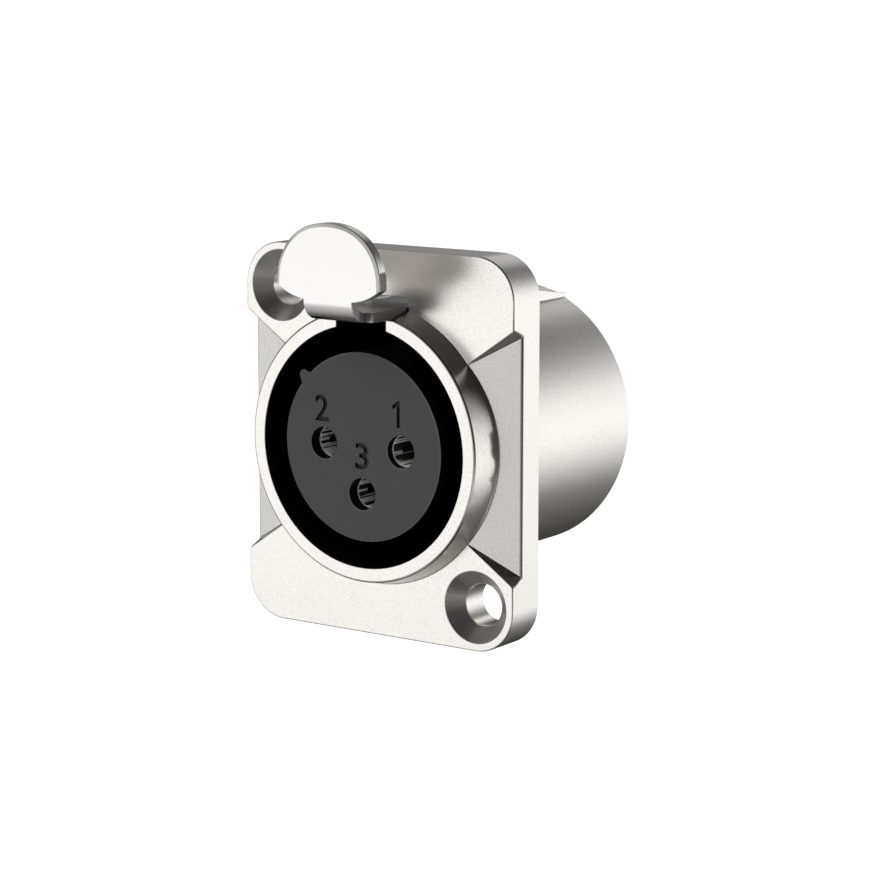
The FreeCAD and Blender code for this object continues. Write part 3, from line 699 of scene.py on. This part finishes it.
FLOOR_DROP = 0.06
FLOOR_SIDE = 6.0
FLOOR_GLOW = 1.3
PAPER_SHARE = 0.35

bpy.ops.mesh.primitive_plane_add(size=FLOOR_SIDE, location=(0.0, 0.0, 0.0))
floor = bpy.context.object
floor.name = "floor"
floor.data.transform(Matrix.Translation((0.0, 0.0, -FLOOR_DROP)))
floor_material, nodes, links = stage_material("floor_white")
glow = nodes.new("ShaderNodeEmission")
glow.inputs["Strength"].default_value = FLOOR_GLOW
paper = nodes.new("ShaderNodeBsdfDiffuse")
paper.inputs["Color"].default_value = (0.9, 0.9, 0.9, 1.0)
both = nodes.new("ShaderNodeMixShader")
both.inputs["Fac"].default_value = PAPER_SHARE
links.new(glow.outputs[0], both.inputs[1])
links.new(paper.outputs[0], both.inputs[2])
floor_shader = nodes.new("ShaderNodeMixShader")
links.new(looked_at(nodes, links), floor_shader.inputs["Fac"])
links.new(paper.outputs[0], floor_shader.inputs[1])
links.new(both.outputs[0], floor_shader.inputs[2])
links.new(floor_shader.outputs[0], nodes["Material Output"].inputs["Surface"])
floor.data.materials.append(floor_material)
floor.visible_glossy = False

FILL_STRENGTH = 0.75

world = bpy.data.worlds.new("room")
bpy.context.scene.world = world
world.use_nodes = True
nodes, links = world.node_tree.nodes, world.node_tree.links
fill_light = nodes["Background"]
fill_light.inputs["Color"].default_value = (1.0, 1.0, 1.0, 1.0)
fill_light.inputs["Strength"].default_value = FILL_STRENGTH
white = nodes.new("ShaderNodeBackground")
white.inputs["Strength"].default_value = 1.0
white.inputs["Color"].default_value = (1.0, 1.0, 1.0, 1.0)
room = nodes.new("ShaderNodeMixShader")
links.new(looked_at(nodes, links), room.inputs["Fac"])
links.new(fill_light.outputs[0], room.inputs[1])
links.new(white.outputs[0], room.inputs[2])
links.new(room.outputs[0], nodes["World Output"].inputs["Surface"])

TENT_RADIUS = 0.5

tent_mesh = bpy.data.meshes.new("light_tent")
shape = bmesh.new()
bmesh.ops.create_uvsphere(shape, u_segments=64, v_segments=32, radius=TENT_RADIUS)
bmesh.ops.reverse_faces(shape, faces=shape.faces[:])
shape.to_mesh(tent_mesh)
shape.free()
tent = bpy.data.objects.new("light_tent", tent_mesh)
bpy.context.collection.objects.link(tent)
tent_material, nodes, links = stage_material("tent_cloth")
place = nodes.new("ShaderNodeTexCoord")
outward = nodes.new("ShaderNodeVectorMath")
outward.operation = "NORMALIZE"
links.new(place.outputs["Object"], outward.inputs[0])
parts = nodes.new("ShaderNodeSeparateXYZ")
links.new(outward.outputs[0], parts.inputs[0])


def near(direction):
    """The cosine of the angle between the cloth's place and a direction."""
    node = nodes.new("ShaderNodeVectorMath")
    node.operation = "DOT_PRODUCT"
    node.inputs[1].default_value = Vector(direction).normalized()
    links.new(outward.outputs[0], node.inputs[0])
    return node.outputs["Value"]


def within(closeness, outer, inner, first, last):
    """first beyond the outer angle to a direction and last inside the inner one."""
    return spread(
        nodes, links, closeness, math.cos(math.radians(outer)), math.cos(math.radians(inner)),
        first, last, smooth=True,
    )


def level(elevation):
    """An elevation in degrees as a place on a ramp."""
    return (math.sin(math.radians(elevation)) + 1.0) / 2.0


def around(degrees):
    """A bearing in degrees as a place on a ramp."""
    return (degrees + 180.0) / 360.0


def ramp_of(place_of, stops, source):
    """A ramp of greys from (angle, grey) stops, read at a source from 0 to 1."""
    node = nodes.new("ShaderNodeValToRGB")
    points = node.color_ramp.elements
    points.remove(points[-1])
    points[0].position = place_of(stops[0][0])
    points[0].color = (stops[0][1],) * 3 + (1.0,)
    for angle, grey in stops[1:]:
        points.new(place_of(angle)).color = (grey, grey, grey, 1.0)
    links.new(source, node.inputs["Fac"])
    return node.outputs["Color"]


# The right wall's band of light leans, and the left wall is taller. A third ramp dims both by
# bearing.
right_height = spread(nodes, links, near((0.25, -0.095, 1.0)), -1.0, 1.0)
left_height = spread(nodes, links, parts.outputs["Z"], -1.0, 1.0)
bearing = computed(nodes, links, "ARCTAN2", parts.outputs["Y"], parts.outputs["X"])
round_about = spread(nodes, links, bearing, -math.pi, math.pi)
right_band = ramp_of(level, [
    (-90, 0.08), (-45, 0.12), (-38, 0.14), (-30, 0.23), (-25, 0.42), (-20, 0.6), (-15, 0.77),
    (-9, 0.95), (-3, 1.02), (3, 0.99), (10, 0.93), (15, 0.78), (20, 0.58), (25, 0.33), (30, 0.12),
    (38, 0.07), (45, 0.04), (90, 0.03),
], right_height)
left_band = ramp_of(level, [
    (-90, 0.2), (-54, 0.42), (-40, 0.5), (-28, 0.64), (-18, 1.0), (-11, 1.07), (-4, 1.05),
    (6, 0.95), (18, 0.78), (27, 0.62), (33, 0.28), (40, 0.08), (55, 0.06), (90, 0.06),
], left_height)
is_left = ramp_of(around, [
    (-180, 1.0), (-45, 1.0), (-20, 0.0), (140, 0.0), (165, 1.0), (180, 1.0),
], round_about)
by_bearing = ramp_of(around, [
    (-180, 0.34), (-168, 0.60), (-157, 0.72), (-142, 0.92), (-128, 1.03), (-118, 1.0),
    (-108, 0.84), (-93, 0.61), (-82, 0.53), (-60, 0.2), (-45, 0.07), (-35, 0.03), (-8, 0.03),
    (6, 0.25), (16, 0.75), (26, 1.05), (36, 1.06), (50, 1.06), (70, 1.04), (85, 0.9), (95, 0.7),
    (110, 0.33), (125, 0.22), (150, 0.2), (163, 0.22), (180, 0.3),
], round_about)
bands = mixed(nodes, links, is_left, right_band, left_band)
cloth = computed(nodes, links, "MULTIPLY", bands, by_bearing)

# Small panels hang behind, low in front, at the ring's side and above: (direction, outer and
# inner angle in degrees, light).
for direction, outer, inner, most in (
    ((-0.28, 0.8, 0.53), 23, 5, 0.32),
    ((0.696, -0.544, -0.47), 20, 6, 0.5),
    ((0.80, 0.52, 0.31), 16, 4, 0.15),
    ((-0.606, -0.107, 0.788), 17, 8, 0.6),
):
    cloth = computed(nodes, links, "ADD", cloth, within(near(direction), outer, inner, 0.0, most))

# Two dark gaps in the left wall.
gaps = computed(nodes, links, "MAXIMUM", near((-0.885, 0.075, -0.46)), near((-0.93, 0.0, 0.36)))
gapped = computed(nodes, links, "MULTIPLY", cloth, within(gaps, 24, 12, 1.0, 0.1))
light = nodes.new("ShaderNodeEmission")
links.new(gapped, light.inputs["Strength"])
links.new(light.outputs[0], nodes["Material Output"].inputs["Surface"])
tent_mesh.materials.append(tent_material)
tent.visible_camera = False
tent.visible_diffuse = False
tent.visible_shadow = False
tent.visible_transmission = False

LAMP_PLACE = Vector((-0.35, -0.45, 0.55))
LAMP_SIDE = 0.4
LAMP_POWER = 2.2

soft_box = bpy.data.lights.new("soft_box", "AREA")
soft_box.size = LAMP_SIDE
soft_box.energy = LAMP_POWER
lamp = bpy.data.objects.new("soft_box", soft_box)
lamp.location = LAMP_PLACE
lamp.rotation_euler = (-LAMP_PLACE).to_track_quat("-Z", "Y").to_euler()
lamp.visible_glossy = False
bpy.context.collection.objects.link(lamp)

# Camera: the photograph's angle, 35.2 degrees to the right of the front and 9.8 degrees up.
BEARING = math.radians(35.17)
RISE = math.radians(9.83)
DISTANCE = 0.2278
FOCUS_PIXELS = 2841.9
PICTURE_PIXELS = 873.0
SHIFT_RIGHT = 0.00267
SHIFT_UP = 0.00009

back = Vector((
    math.sin(BEARING) * math.cos(RISE), -math.cos(BEARING) * math.cos(RISE), math.sin(RISE),
))
right = Vector((math.cos(BEARING), math.sin(BEARING), 0.0))
up = back.cross(right)
eye = back * DISTANCE + right * SHIFT_RIGHT + up * SHIFT_UP
camera_data = bpy.data.cameras.new("camera")
camera_data.sensor_width = 36.0
camera_data.lens = FOCUS_PIXELS / PICTURE_PIXELS * camera_data.sensor_width
camera_data.clip_start = 0.01
camera = bpy.data.objects.new("camera", camera_data)
camera.matrix_world = Matrix((
    (right.x, up.x, back.x, eye.x),
    (right.y, up.y, back.y, eye.y),
    (right.z, up.z, back.z, eye.z),
    (0.0, 0.0, 0.0, 1.0),
))
bpy.context.collection.objects.link(camera)
bpy.context.scene.camera = camera
bpy.context.scene.view_settings.view_transform = "Standard"
